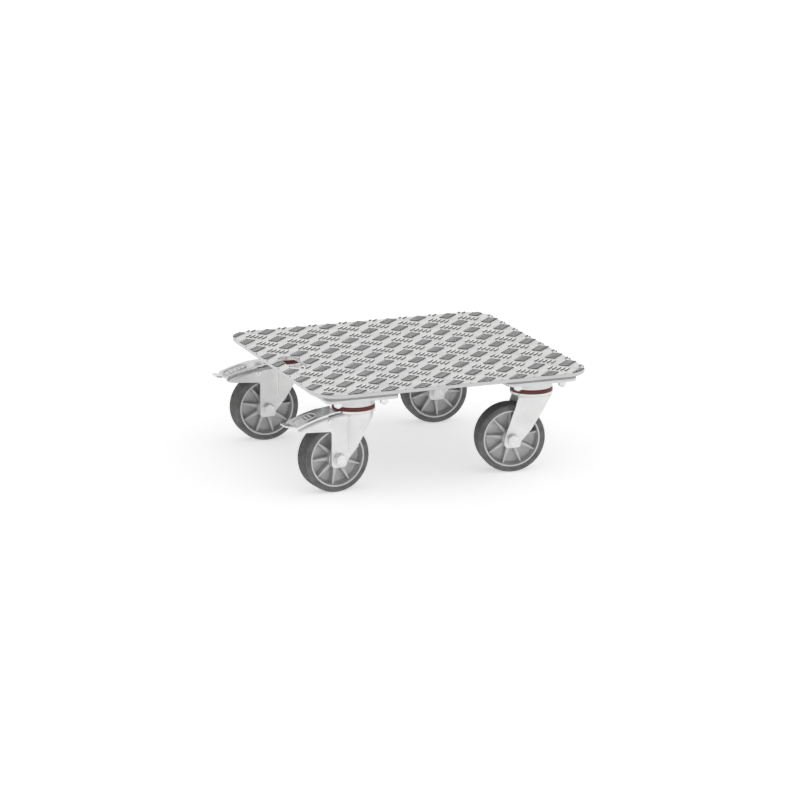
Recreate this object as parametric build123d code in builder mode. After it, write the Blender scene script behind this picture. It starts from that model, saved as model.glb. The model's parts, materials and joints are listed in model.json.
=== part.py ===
"""Crate dolly: a square tread-plate deck on four swivel casters, two of them with foot brakes.

Millimetres, +Z up. The origin is the centre of the deck's loading face. +X runs along the
front edge to the right, and the casters trail towards -X, where the grip hole is.
"""
import math
import os

from build123d import *

os.makedirs("parts", exist_ok=True)

# Deck
deck_length = 520.0
deck_width = 520.0
deck_thickness = 6.5
deck_corner_radius = 50.0
grip_length = 92.0
grip_width = 33.0
grip_edge_distance = 42.0

# Tread: groups of raised bars that lie both ways in turn
bar_length = 21.0
bar_width = 4.6
bar_height = 1.5
bar_pitch = 8.2
bars_in_group = 5
group_pitch = 61.0
tread_shift_x = -3.0
tread_shift_y = -4.0
bar_edge_gap = 0.7

# Caster plates, the pads they hang from and their place under the deck
plate_length = 135.0
plate_width = 110.0
plate_thickness = 5.0
plate_corner_radius = 12.0
plate_inset_x = 21.5
plate_inset_y = 19.0
pad_thickness = 8.5

# Studs in the pads, with washers and nuts below the caster plates
stud_end_distance = 24.5
stud_side_distance = 15.0
stud_diameter = 8.0
stud_embedding = 7.0
stud_tail = 2.5
stud_hole_clearance = 0.5
thread_clearance = 0.05
washer_diameter = 16.0
washer_thickness = 1.6
nut_across_flats = 13.0
nut_height = 8.0

# Swivel head
raceway_diameter = 76.0
raceway_wall = 8.0
raceway_height = 15.5
raceway_edge_radius = 1.5
seal_overhang = 0.5
seal_wall = 7.5
seal_height = 6.7
seal_edge_radius = 2.0
ball_diameter = 7.0
ball_spacing = 1.5
ball_edge_distance = 1.5
boss_gap = 3.0
swivel_gap = 0.3
king_pin_diameter = 14.0
king_pin_head_diameter = 24.0
king_pin_head_height = 6.0
rivet_head_diameter = 20.0
rivet_head_height = 3.5
rivet_clearance = 2.0
running_clearance = 0.05
seat_clearance = 0.02

# Fork
fork_sheet = 3.5
fork_inner_bend = 2.5
fork_nose_reach = 37.5
crown_step = 3.5
crown_sink = 0.5
trail = 40.0
tyre_clearance = 15.5
tyre_side_gap = 3.25
leg_half_width = 15.0
leg_drop = 15.0
leg_corner_radius = 6.5
leg_toe_straight = 3.5
leg_knee_run = 34.0
leg_knee_rise = 16.5
leg_knee_radius = 60.0
chin_reach = 26.0
chin_drop = 14.0
chin_radius = 40.0
nose_drop = 2.5
plain_leg_top_back = 26.0
plain_leg_heel_height = 17.0
plain_leg_heel_radius = 20.0

# Wing of the braked fork, which carries the pedal
wing_reach = 61.0
wing_arc_start = 20.0
wing_arc_drop = 20.0
wing_depth = 30.0
wing_tip_depth = 3.0
wing_tip_run = 12.0
wing_tip_rise = 3.0
wing_inner_radius = 4.0
slot_end_gap = 0.5
slot_side_gap = 1.0

# Wheel
wheel_diameter = 125.0
tyre_width = 37.5
tyre_depth = 10.5
tyre_shoulder_radius = 5.0
rim_recess = 0.5
rim_lip = 3.0
rim_band = 6.0
rim_edge_radius = 1.0
rim_fillet = 3.0
web_thickness = 5.0
hub_wall = 4.0
hub_side_gap = 1.0
rib_count = 9
rib_root = 7.0
rib_tip = 3.0
rib_recess = 4.0

# Axle
axle_diameter = 12.0
axle_clearance = 0.1
axle_flange_diameter = 22.0
axle_flange_thickness = 2.5
axle_across_flats = 18.0
axle_head_height = 6.5
axle_nut_height = 8.0
axle_tail = 3.0
tube_wall = 2.0
bearing_wall = 6.0
bearing_width = 10.0

# Brake
pedal_head_gap = 3.0
pedal_head_length = 15.5
pedal_pin_drop = 11.0
pedal_pin_diameter = 8.0
pedal_pin_head_diameter = 11.0
pedal_pin_head_height = 2.0
pedal_rise = 5.0
pedal_sheet = 2.5
pedal_side_inset = 1.5
pedal_overreach = 3.0
pedal_lip_length = 17.0
pedal_lip_width = 25.0
pedal_lip_rise = 3.0
pedal_lip_bend = 5.0
pedal_corner_radius = 4.0
pedal_neck_length = 3.0
pedal_neck_gap = 0.7
pedal_flange_gap = 0.8
pedal_flange_width = 2.5
ear_thickness = 3.0
ear_side_gap = 3.5
ear_front_length = 11.0
ear_rear_length = 27.0
ear_wheel_gap = 3.5
shoe_gap = 0.4
shoe_thickness = 6.0
shoe_pin_gap = 1.0
shoe_sweep = 20.0

# Heights, from the deck's loading face down to the floor
plate_top = -deck_thickness - pad_thickness
plate_bottom = plate_top - plate_thickness
washer_bottom = plate_bottom - washer_thickness
raceway_bottom = plate_bottom - raceway_height
boss_top = plate_bottom - ball_diameter - 2 * swivel_gap
seal_top = raceway_bottom - swivel_gap
crown_top = seal_top - seal_height
roof_top = crown_top - crown_step
roof_bottom = roof_top - fork_sheet
wheel_radius = wheel_diameter / 2
axle_height = roof_bottom - tyre_clearance - wheel_radius
leg_bottom = axle_height - leg_drop

# Caster sizes that follow from the fits
stud_spacing_x = plate_length - 2 * stud_end_distance
stud_spacing_y = plate_width - 2 * stud_side_distance
stud_radius = stud_diameter / 2
raceway_radius = raceway_diameter / 2
seal_radius = raceway_radius + seal_overhang
boss_radius = min(raceway_radius - raceway_wall, seal_radius - seal_wall) - boss_gap
ball_circle = boss_radius - ball_edge_distance - ball_diameter / 2
ball_count = int(2 * math.pi * ball_circle / (ball_diameter + ball_spacing))
king_pin_radius = king_pin_diameter / 2
fork_gap = tyre_width + 2 * tyre_side_gap
fork_half = fork_gap / 2 + fork_sheet
rim_radius = wheel_radius - tyre_depth
rim_half_width = tyre_width / 2 - rim_recess
axle_radius = axle_diameter / 2
tube_bore = axle_radius + axle_clearance
tube_radius = tube_bore + tube_wall
bearing_bore = tube_radius + running_clearance
bearing_radius = bearing_bore + bearing_wall
hub_bore = bearing_radius + seat_clearance
hub_radius = hub_bore + hub_wall
hub_half_length = fork_gap / 2 - hub_side_gap

# Places in a caster's own frame: swivel axis at x = 0, wheel trailing towards -X
axle_x = -trail
nose_center = fork_nose_reach - fork_half
head_back = seal_radius + pedal_head_gap
pin_back = head_back + pedal_head_length
pin_height = roof_top - pedal_pin_drop
pin_radius = pedal_pin_diameter / 2
wing_length = pin_back + wing_reach
wing_run = wing_length - wing_arc_start
wing_radius = (wing_run**2 + wing_arc_drop**2) / (2 * wing_arc_drop)
wing_center = (-wing_arc_start, roof_top - wing_radius)
pedal_back = wing_length + pedal_overreach
pedal_half = fork_half - pedal_side_inset
neck_half = fork_gap / 2 - pedal_neck_gap
neck_back = pin_back + pedal_neck_length
ear_outer = fork_gap / 2 - ear_side_gap
ear_inner = ear_outer - ear_thickness
pin_direction = math.degrees(math.atan2(pin_height - axle_height, -pin_back - axle_x))
pin_distance = math.hypot(pin_height - axle_height, -pin_back - axle_x)
shoe_start = pin_direction + math.degrees(math.asin((pin_radius + shoe_pin_gap) / pin_distance))
span = deck_length + deck_width

# The four casters: place under the deck, swivel and roll angles in degrees, and whether braked
caster_x = deck_length / 2 - plate_inset_x - plate_length / 2
caster_y = deck_width / 2 - plate_inset_y - plate_width / 2
casters = {
    "front_left": (-caster_x, -caster_y, 6, 20, True),
    "back_left": (-caster_x, caster_y, -1, 34, True),
    "front_right": (caster_x, -caster_y, -9, 28, False),
    "back_right": (caster_x, caster_y, -6, 5, False),
}

# Side plane of a caster, through its wheel's centre, seen from the front
wheel_side = Plane(origin=(axle_x, 0, axle_height), x_dir=(1, 0, 0), z_dir=(0, -1, 0))
pin_side = Plane(origin=(-pin_back, 0, pin_height), x_dir=(1, 0, 0), z_dir=(0, -1, 0))
wheel_section = Plane(origin=(axle_x, 0, axle_height), x_dir=(0, 1, 0), z_dir=(1, 0, 0))
axle_axis = Axis((axle_x, 0, axle_height), (0, 1, 0))


def arc_height(radius, back):
    """Height of a circle about the wing's arc centre, at a distance behind the swivel axis."""
    return wing_center[1] + math.sqrt(radius**2 - (back - wing_arc_start) ** 2)


def write(piece, label):
    """Label one finished piece and write it to its own STEP file."""
    piece.label = label
    export_step(piece, f"parts/{label}.step")


def write_fixed(piece, label):
    """Write the copies of a caster's piece that stay square to the deck, one for each corner."""
    for corner, (x, y, swivel, roll, has_brake) in casters.items():
        write(piece.moved(Location((x, y, 0))), f"{label}_{corner}")


def write_swivelled(piece, label, brake=None):
    """Write the copies that turn with the swivel: for all casters, the braked or the plain ones."""
    for corner, (x, y, swivel, roll, has_brake) in casters.items():
        if brake is None or brake == has_brake:
            write(piece.moved(Location((x, y, 0), (0, 0, swivel))), f"{label}_{corner}")


def write_rolled(piece, label):
    """Write the copies that turn with the wheel as well as with the swivel."""
    for corner, (x, y, swivel, roll, has_brake) in casters.items():
        rolled = piece.rotate(axle_axis, roll)
        write(rolled.moved(Location((x, y, 0), (0, 0, swivel))), f"{label}_{corner}")


# Deck: rounded square sheet with the grip hole, and the raised bars that lie wholly inside its edges
with BuildPart() as sheet:
    with BuildSketch() as deck_plan:
        RectangleRounded(deck_length, deck_width, deck_corner_radius)
        with Locations((-deck_length / 2 + grip_edge_distance, 0)):
            SlotOverall(grip_length, grip_width, rotation=90, mode=Mode.SUBTRACT)
    extrude(amount=-deck_thickness)
with BuildSketch() as tread_area:
    add(deck_plan.sketch)
    offset(amount=-bar_width / 2 - bar_edge_gap)
with BuildPart() as bar:
    with BuildSketch():
        with BuildLine():
            ThreePointArc((-bar_length / 2, 0), (0, bar_width / 2), (bar_length / 2, 0))
            ThreePointArc((bar_length / 2, 0), (0, -bar_width / 2), (-bar_length / 2, 0))
        make_face()
    extrude(amount=bar_height)
tread_face = tread_area.face()
bars = []
for angle, extra in ((-45, 0), (45, 1)):
    groups_x = math.ceil(deck_length / group_pitch) + extra
    groups_y = math.ceil(deck_width / group_pitch) + extra
    for group in GridLocations(group_pitch, group_pitch, groups_x, groups_y):
        for step in GridLocations(0, bar_pitch, 1, bars_in_group):
            place = Pos(tread_shift_x, tread_shift_y) * group * Rot(0, 0, angle) * step
            ends = [place * Pos(side * bar_length / 2, 0) for side in (-1, 1)]
            if all(tread_face.is_inside(end.position) for end in ends):
                bars.append(place * bar.part)

# The bars stand on the sheet's upper face, so all their faces are sewn into one closed skin
sheet_faces = sheet.faces().sort_by(Axis.Z)
bar_faces = [one.faces().sort_by(Axis.Z) for one in bars]
bar_feet = [faces[0].outer_wire() for faces in bar_faces]
loading_face = Face(sheet_faces[-1].outer_wire(), sheet_faces[-1].inner_wires() + bar_feet)
skin = [loading_face] + sheet_faces[:-1]
for faces in bar_faces:
    skin += faces[1:]
deck = Solid(Shell(skin))
write(deck, "deck")

# Mounting studs, stud washers and stud nuts: four of each at every caster plate
stud_top = plate_top + stud_embedding
stud_end = washer_bottom - nut_height - stud_tail
with BuildPart() as mounting_studs:
    with BuildSketch(Plane.XY.offset(stud_top)):
        with GridLocations(2 * caster_x, 2 * caster_y, 2, 2):
            with GridLocations(stud_spacing_x, stud_spacing_y, 2, 2):
                Circle(stud_radius)
    extrude(amount=stud_end - stud_top)
write(mounting_studs.part, "mounting_studs")

with BuildPart() as stud_washers:
    with BuildSketch(Plane.XY.offset(plate_bottom)):
        with GridLocations(2 * caster_x, 2 * caster_y, 2, 2):
            with GridLocations(stud_spacing_x, stud_spacing_y, 2, 2):
                Circle(washer_diameter / 2)
                Circle(stud_radius + stud_hole_clearance, mode=Mode.SUBTRACT)
    extrude(amount=-washer_thickness)
write(stud_washers.part, "stud_washers")

with BuildPart() as stud_nuts:
    with BuildSketch(Plane.XY.offset(washer_bottom)):
        with GridLocations(2 * caster_x, 2 * caster_y, 2, 2):
            with GridLocations(stud_spacing_x, stud_spacing_y, 2, 2):
                RegularPolygon(nut_across_flats / 2, 6, major_radius=False)
                Circle(stud_radius + thread_clearance, mode=Mode.SUBTRACT)
    extrude(amount=-nut_height)
write(stud_nuts.part, "stud_nuts")

# Mounting pad: packing plate under the deck, with blind stud holes and room for the rivet head
with BuildPart() as mounting_pad:
    with BuildSketch(Plane.XY.offset(plate_top)):
        RectangleRounded(plate_length, plate_width, plate_corner_radius)
    extrude(amount=pad_thickness)
    with BuildSketch(Plane.XY.offset(plate_top)):
        with GridLocations(stud_spacing_x, stud_spacing_y, 2, 2):
            Circle(stud_radius + thread_clearance)
    extrude(amount=stud_embedding, mode=Mode.SUBTRACT)
    with BuildSketch(Plane.XY.offset(plate_top)):
        Circle(rivet_head_diameter / 2 + rivet_clearance)
    extrude(amount=rivet_head_height + rivet_clearance, mode=Mode.SUBTRACT)
write_fixed(mounting_pad.part, "mounting_pad")

# Top plate: bolted plate with the raceway cup hanging below it
with BuildPart() as top_plate:
    with BuildSketch(Plane.XY.offset(plate_bottom)):
        RectangleRounded(plate_length, plate_width, plate_corner_radius)
        with GridLocations(stud_spacing_x, stud_spacing_y, 2, 2):
            Circle(stud_radius + stud_hole_clearance, mode=Mode.SUBTRACT)
        Circle(king_pin_radius + seat_clearance, mode=Mode.SUBTRACT)
    extrude(amount=plate_thickness)
    with BuildSketch(Plane.XY.offset(raceway_bottom)):
        Circle(raceway_radius)
        Circle(raceway_radius - raceway_wall, mode=Mode.SUBTRACT)
    extrude(amount=raceway_height)
    fillet(top_plate.faces().sort_by(Axis.Z)[0].outer_wire().edges(), raceway_edge_radius)
write_fixed(top_plate.part, "top_plate")

# Swivel balls: one ring of balls between the plate and the fork's boss
with BuildPart() as swivel_balls:
    with Locations((0, 0, plate_bottom - swivel_gap - ball_diameter / 2)):
        with PolarLocations(ball_circle, ball_count):
            Sphere(ball_diameter / 2)
write_fixed(swivel_balls.part, "swivel_balls")

# King pin: headed under the fork's roof, riveted over on top of the plate
with BuildPart() as king_pin:
    with BuildSketch(Plane.XY.offset(roof_bottom - swivel_gap)):
        Circle(king_pin_head_diameter / 2)
    extrude(amount=-king_pin_head_height)
    with BuildSketch(Plane.XY.offset(roof_bottom - swivel_gap)):
        Circle(king_pin_radius)
    extrude(amount=plate_top - roof_bottom + swivel_gap)
    with BuildSketch(Plane.XY.offset(plate_top)):
        Circle(rivet_head_diameter / 2)
    extrude(amount=rivet_head_height)
write_fixed(king_pin.part, "king_pin")

# Seal ring: lies on the fork's crown and closes the raceway
with BuildPart() as seal_ring:
    with BuildSketch(Plane.XY.offset(crown_top)):
        Circle(seal_radius)
        Circle(seal_radius - seal_wall, mode=Mode.SUBTRACT)
    extrude(amount=seal_height)
    fillet(seal_ring.faces().sort_by(Axis.Z)[-1].outer_wire().edges(), seal_edge_radius)
write_swivelled(seal_ring.part, "seal_ring")


def fork_block(inset, bend):
    """Solid below the fork's roof line, drawn in by an inset from the outside of the pressed sheet."""
    half = fork_half - inset
    radius = wing_radius - inset
    nose = (nose_center + half, roof_top - inset)
    crest = (-wing_arc_start, roof_top - inset)
    back = wing_length + fork_half
    tail = (-back, arc_height(radius, back))
    with BuildPart() as block:
        with BuildSketch(Plane.XZ):
            with BuildLine():
                Line(nose, crest)
                TangentArc(crest, tail, tangent=(-1, 0))
                Polyline(tail, (-back, leg_bottom), (nose[0], leg_bottom), nose)
            make_face()
        extrude(amount=half, both=True)
        with BuildSketch(Plane.XY.offset(leg_bottom)):
            with Locations((nose_center, 0)):
                Circle(half)
                Rectangle(span, 2 * half, align=(Align.MAX, Align.CENTER))
        extrude(amount=-leg_bottom, mode=Mode.INTERSECT)
        fillet(block.edges().filter_by(Axis.X).group_by(Axis.Z)[-1], bend)
    return block.part


fork_outside = fork_block(0, fork_inner_bend + fork_sheet)
fork_inside = fork_block(fork_sheet, fork_inner_bend)
leg_back = axle_x - leg_half_width
leg_front = axle_x + leg_half_width
leg_front_line = [
    (leg_back, leg_bottom, leg_corner_radius),
    (leg_front, leg_bottom, leg_corner_radius),
    (leg_front, leg_bottom + leg_corner_radius + leg_toe_straight, leg_corner_radius),
    (axle_x + leg_knee_run, axle_height + leg_knee_rise, leg_knee_radius),
    (chin_reach, roof_top - chin_drop, chin_radius),
    (fork_nose_reach, roof_top - nose_drop, 0),
    (fork_nose_reach, crown_top, 0),
]
plain_back_line = [
    (-plain_leg_top_back, crown_top, 0),
    (leg_back, leg_bottom + plain_leg_heel_height, plain_leg_heel_radius),
]
wing_tip_bottom = roof_top - wing_arc_drop - wing_tip_depth
braked_back_line = [
    (-wing_length, crown_top, 0),
    (-wing_length, wing_tip_bottom, 0),
    (-wing_length + wing_tip_run, wing_tip_bottom - wing_tip_rise, wing_inner_radius),
    (leg_back, roof_top - wing_depth, wing_inner_radius),
]


def fork(back_line):
    """One pressed fork with its crown and boss, bored for the king pin and the axle."""
    corners = back_line + leg_front_line
    with BuildPart() as body:
        add(fork_outside)
        with BuildSketch(Plane.XZ):
            with BuildLine():
                points = [(x, z) for x, z, radius in corners]
                FilletPolyline(points, radius=[radius for x, z, radius in corners], close=True)
            make_face()
        extrude(amount=fork_half, both=True, mode=Mode.INTERSECT)
        add(fork_inside, mode=Mode.SUBTRACT)
        with BuildSketch(Plane.XY.offset(crown_top)):
            Circle(seal_radius)
        extrude(amount=-crown_step - crown_sink)
        with BuildSketch(Plane.XY.offset(crown_top)):
            Circle(boss_radius)
        extrude(amount=boss_top - crown_top)
        with BuildSketch(Plane.XY.offset(boss_top)):
            Circle(king_pin_radius + running_clearance)
        extrude(amount=roof_bottom - boss_top, mode=Mode.SUBTRACT)
        with BuildSketch(wheel_side):
            Circle(tube_bore)
        extrude(amount=fork_half, both=True, mode=Mode.SUBTRACT)
    return body.part


# Plain fork: closed roof, tapered legs
write_swivelled(fork(plain_back_line), "fork", brake=False)

# Braked fork: its wing has a slot for the pedal's neck and ears, and holes for the pedal pin
winged_fork = fork(braked_back_line)
with BuildPart() as braked_fork:
    add(winged_fork)
    with BuildSketch(Plane.XY.offset(roof_top)):
        with Locations((-neck_back, 0)):
            Rectangle(span, 2 * (ear_outer + slot_side_gap), align=(Align.MAX, Align.CENTER))
            Rectangle(neck_back, fork_gap, align=(Align.MIN, Align.CENTER))
        Circle(seal_radius + slot_end_gap, mode=Mode.SUBTRACT)
    extrude(amount=leg_bottom - roof_top, mode=Mode.SUBTRACT)
    with BuildSketch(pin_side):
        Circle(pin_radius + running_clearance)
    extrude(amount=fork_half, both=True, mode=Mode.SUBTRACT)
write_swivelled(braked_fork.part, "fork", brake=True)

# Axle bolt: flanged hexagon head in front, shank through both legs and the nut
with BuildPart() as axle_bolt:
    with BuildSketch(wheel_side.offset(fork_half)):
        Circle(axle_flange_diameter / 2)
    extrude(amount=axle_flange_thickness)
    with BuildSketch(wheel_side.offset(fork_half + axle_flange_thickness)):
        RegularPolygon(axle_across_flats / 2, 6, major_radius=False)
    extrude(amount=axle_head_height)
    with BuildSketch(wheel_side.offset(fork_half)):
        Circle(axle_radius)
    extrude(amount=-2 * fork_half - axle_flange_thickness - axle_nut_height - axle_tail)
write_swivelled(axle_bolt.part, "axle_bolt")

# Axle nut: flanged hexagon nut behind
with BuildPart() as axle_nut:
    with BuildSketch(wheel_side.offset(-fork_half)):
        Circle(axle_flange_diameter / 2)
        Circle(axle_radius + thread_clearance, mode=Mode.SUBTRACT)
    extrude(amount=-axle_flange_thickness)
    with BuildSketch(wheel_side.offset(-fork_half - axle_flange_thickness)):
        RegularPolygon(axle_across_flats / 2, 6, major_radius=False)
        Circle(axle_radius + thread_clearance, mode=Mode.SUBTRACT)
    extrude(amount=-axle_nut_height)
write_swivelled(axle_nut.part, "axle_nut")

# Axle tube: spacer clamped between the legs, on which the bearings run
with BuildPart() as axle_tube:
    with BuildSketch(wheel_side):
        Circle(tube_radius)
        Circle(tube_bore, mode=Mode.SUBTRACT)
    extrude(amount=fork_gap / 2, both=True)
write_swivelled(axle_tube.part, "axle_tube")

# Bearings: one ring in each end of the hub
with BuildPart() as bearings:
    with BuildSketch(wheel_section):
        bearing_center = hub_half_length - bearing_width / 2
        bearing_middle = bearing_bore + bearing_wall / 2
        with Locations((bearing_center, bearing_middle), (-bearing_center, bearing_middle)):
            Rectangle(bearing_width, bearing_wall)
    revolve(axis=axle_axis)
write_rolled(bearings.part, "bearings")

# Rim: cast hub, web and band in one, stiffened by tapered ribs on both faces
rim_half_section = [
    (hub_half_length, hub_bore, 0),
    (hub_half_length, hub_radius, rim_edge_radius),
    (web_thickness / 2, hub_radius, rim_fillet),
    (web_thickness / 2, rim_radius - rim_band, rim_fillet),
    (rim_half_width, rim_radius - rim_lip, rim_edge_radius),
    (rim_half_width, rim_radius, 0),
]
rim_section = rim_half_section + [(-axial, radial, r) for axial, radial, r in reversed(rim_half_section)]
with BuildPart() as rim:
    with BuildSketch(wheel_section):
        with BuildLine():
            points = [(axial, radial) for axial, radial, r in rim_section]
            FilletPolyline(points, radius=[r for axial, radial, r in rim_section], close=True)
        make_face()
    revolve(axis=axle_axis)
    with BuildSketch(wheel_side):
        rib_from = hub_radius - hub_wall / 2
        rib_to = rim_radius - rim_lip / 2
        with PolarLocations(0, rib_count):
            Polygon(
                (rib_from, -rib_root / 2),
                (rib_to, -rib_tip / 2),
                (rib_to, rib_tip / 2),
                (rib_from, rib_root / 2),
                align=None,
            )
    extrude(amount=rim_half_width - rib_recess, both=True)
write_rolled(rim.part, "rim")

# Tyre: solid tread bonded to the rim
with BuildPart() as tyre:
    with BuildSketch(wheel_section):
        with BuildLine():
            FilletPolyline(
                (-tyre_width / 2, rim_radius + seat_clearance),
                (-tyre_width / 2, wheel_radius),
                (tyre_width / 2, wheel_radius),
                (tyre_width / 2, rim_radius + seat_clearance),
                radius=[tyre_shoulder_radius, tyre_shoulder_radius],
            )
            Line((-tyre_width / 2, rim_radius + seat_clearance), (tyre_width / 2, rim_radius + seat_clearance))
        make_face()
    revolve(axis=axle_axis)
write_rolled(tyre.part, "tyre")

# Pedal pin: riveted through both walls of the wing
with BuildPart() as pedal_pin:
    with BuildSketch(pin_side):
        Circle(pin_radius)
    extrude(amount=fork_half, both=True)
    with BuildSketch(pin_side.offset(fork_half)):
        Circle(pedal_pin_head_diameter / 2)
    extrude(amount=pedal_pin_head_height)
    mirror(about=Plane.XZ)
write_swivelled(pedal_pin.part, "pedal_pin", brake=True)

# Brake pedal: curved tread over the wing, hollowed round the seal ring at its head, with a turned-up
# toe lip, side flanges and two ears on the pin
tread_outside = wing_radius + pedal_rise
tread_inside = tread_outside - pedal_sheet
tread_middle = tread_outside - pedal_sheet / 2
lip_top = arc_height(tread_outside, pedal_back)
lip_bottom = arc_height(tread_inside, pedal_back)
with BuildPart() as brake_pedal:
    with BuildSketch(Plane.XZ) as tread_side:
        with Locations(wing_center):
            Circle(tread_outside)
            Circle(tread_inside, mode=Mode.SUBTRACT)
        with Locations((-pedal_back, axle_height)):
            Rectangle(pedal_back - wing_arc_start, -axle_height, align=Align.MIN, mode=Mode.INTERSECT)
        Polygon(
            (-pedal_back, lip_bottom),
            (-pedal_back, lip_top),
            (-pedal_back - pedal_lip_length, lip_top + pedal_lip_rise),
            (-pedal_back - pedal_lip_length, lip_bottom + pedal_lip_rise),
            align=None,
        )
        fillet(tread_side.vertices().group_by(Axis.X)[1], pedal_lip_bend)
    extrude(amount=pedal_half, both=True)
    with BuildSketch(Plane.XZ.offset(pedal_half - pedal_flange_width)):
        with Locations(wing_center):
            Circle(tread_middle)
            Circle(wing_radius + pedal_flange_gap, mode=Mode.SUBTRACT)
        with Locations((-pedal_back, axle_height)):
            Rectangle(pedal_back - neck_back, -axle_height, align=Align.MIN, mode=Mode.INTERSECT)
    extrude(amount=pedal_flange_width)
    with BuildSketch(Plane.XY.offset(axle_height)) as tread_plan:
        with Locations((-neck_back, 0)):
            Rectangle(pedal_back - neck_back, 2 * pedal_half, align=(Align.MAX, Align.CENTER))
            Rectangle(neck_back, 2 * neck_half, align=(Align.MIN, Align.CENTER))
        with Locations((-pedal_back, 0)):
            Rectangle(pedal_lip_length, pedal_lip_width, align=(Align.MAX, Align.CENTER))
        Circle(head_back, mode=Mode.SUBTRACT)
        lip_corners, pedal_corners = tread_plan.vertices().group_by(Axis.X)[:2]
        fillet(lip_corners + pedal_corners, pedal_corner_radius)
    extrude(amount=-axle_height, mode=Mode.INTERSECT)
    with BuildSketch(Plane.XZ.offset(ear_inner)):
        with Locations((-pin_back - ear_rear_length, axle_height)):
            Rectangle(ear_rear_length + ear_front_length, -axle_height, align=Align.MIN)
        with Locations(wing_center):
            Circle(tread_middle, mode=Mode.INTERSECT)
        with Locations((axle_x, axle_height)):
            Circle(wheel_radius + ear_wheel_gap, mode=Mode.SUBTRACT)
    extrude(amount=ear_thickness)
    mirror(about=Plane.XZ)
    with BuildSketch(pin_side):
        Circle(pin_radius + running_clearance)
    extrude(amount=ear_outer, both=True, mode=Mode.SUBTRACT)
write_swivelled(brake_pedal.part, "brake_pedal", brake=True)

# Brake shoe: block between the pedal's ears, curved to the tyre
with BuildPart() as brake_shoe:
    with BuildSketch(wheel_side):
        with BuildLine():
            grip = CenterArc((0, 0), wheel_radius + shoe_gap, shoe_start, shoe_sweep)
            crown = CenterArc((0, 0), wheel_radius + shoe_gap + shoe_thickness, shoe_start, shoe_sweep)
            Line(grip @ 0, crown @ 0)
            Line(grip @ 1, crown @ 1)
        make_face()
    extrude(amount=ear_inner, both=True)
write_swivelled(brake_shoe.part, "brake_shoe", brake=True)
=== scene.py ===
"""Looks of a crate dolly: a tread-plate deck on four swivel casters, two of them with foot brakes."""

import json
import logging
import math
from collections.abc import Callable, Iterator, Sequence
from contextlib import contextmanager
from dataclasses import dataclass
from enum import Enum
from functools import cached_property

import bpy
from mathutils import Matrix, Vector

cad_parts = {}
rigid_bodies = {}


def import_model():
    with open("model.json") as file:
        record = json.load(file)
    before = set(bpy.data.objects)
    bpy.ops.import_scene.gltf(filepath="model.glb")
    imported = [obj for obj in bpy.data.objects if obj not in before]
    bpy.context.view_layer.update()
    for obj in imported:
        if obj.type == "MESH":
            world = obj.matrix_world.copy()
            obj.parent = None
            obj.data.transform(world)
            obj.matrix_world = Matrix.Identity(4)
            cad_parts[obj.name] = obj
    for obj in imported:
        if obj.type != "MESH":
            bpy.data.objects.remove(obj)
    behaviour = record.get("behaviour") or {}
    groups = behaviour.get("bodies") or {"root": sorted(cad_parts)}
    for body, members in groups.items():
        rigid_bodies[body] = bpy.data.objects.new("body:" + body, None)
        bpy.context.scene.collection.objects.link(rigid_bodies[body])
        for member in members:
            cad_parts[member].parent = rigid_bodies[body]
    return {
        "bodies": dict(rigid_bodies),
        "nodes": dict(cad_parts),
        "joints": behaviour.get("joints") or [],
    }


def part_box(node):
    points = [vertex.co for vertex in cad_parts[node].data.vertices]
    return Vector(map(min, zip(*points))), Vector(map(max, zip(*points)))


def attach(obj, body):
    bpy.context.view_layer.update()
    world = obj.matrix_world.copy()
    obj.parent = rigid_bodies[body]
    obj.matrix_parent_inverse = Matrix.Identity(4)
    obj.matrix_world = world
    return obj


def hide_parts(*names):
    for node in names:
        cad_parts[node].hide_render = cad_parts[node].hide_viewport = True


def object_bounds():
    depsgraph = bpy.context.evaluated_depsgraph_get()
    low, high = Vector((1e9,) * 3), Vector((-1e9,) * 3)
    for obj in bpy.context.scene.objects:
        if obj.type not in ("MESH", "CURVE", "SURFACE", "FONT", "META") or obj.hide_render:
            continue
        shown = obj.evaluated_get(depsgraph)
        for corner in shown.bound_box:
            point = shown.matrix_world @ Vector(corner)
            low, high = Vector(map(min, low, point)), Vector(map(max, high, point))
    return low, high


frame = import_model()
cad_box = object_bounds()
log = logging.getLogger("crate_dolly")

MM = 0.001
# Points nearer than this are one point.
CLOSE = 1e-6
FULL_TURN = 2 * math.pi
UPSIDE_DOWN = Matrix.Rotation(math.pi, 4, "X")
LAID_DOWN = Matrix.Rotation(math.pi / 2, 4, "X")
# The attribute that keeps a pattern piece's own coordinates.
OWN = "own_place"

Triple = tuple[float, float, float]
Point = tuple[float, float]
Piece = bpy.types.Object
Socket = bpy.types.NodeSocket
Material = bpy.types.Material

# The parts of a noise's range over which finishes change.
CLOUD_SPREAD: Point = (0.35, 0.7)
GRAIN_SPREAD: Point = (0.3, 0.7)


class Corner(Enum):
    """The four places under the deck where a caster hangs."""

    FRONT_LEFT = "front_left"
    BACK_LEFT = "back_left"
    FRONT_RIGHT = "front_right"
    BACK_RIGHT = "back_right"

    def name_of(self, piece: str) -> str:
        """Name of a piece at this corner."""
        return f"{piece}_{self.value}"

    @property
    def braked(self) -> bool:
        """Whether the caster at this corner has a foot brake."""
        return self.name_of("pedal") in frame["bodies"]


class Part(Enum):
    """What an edit-mode selection is made of."""

    VERTICES = "VERT"
    EDGES = "EDGE"
    FACES = "FACE"


class Join(Enum):
    """How one solid is combined with another."""

    ADD = "UNION"
    CUT = "DIFFERENCE"
    KEEP = "INTERSECT"


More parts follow.
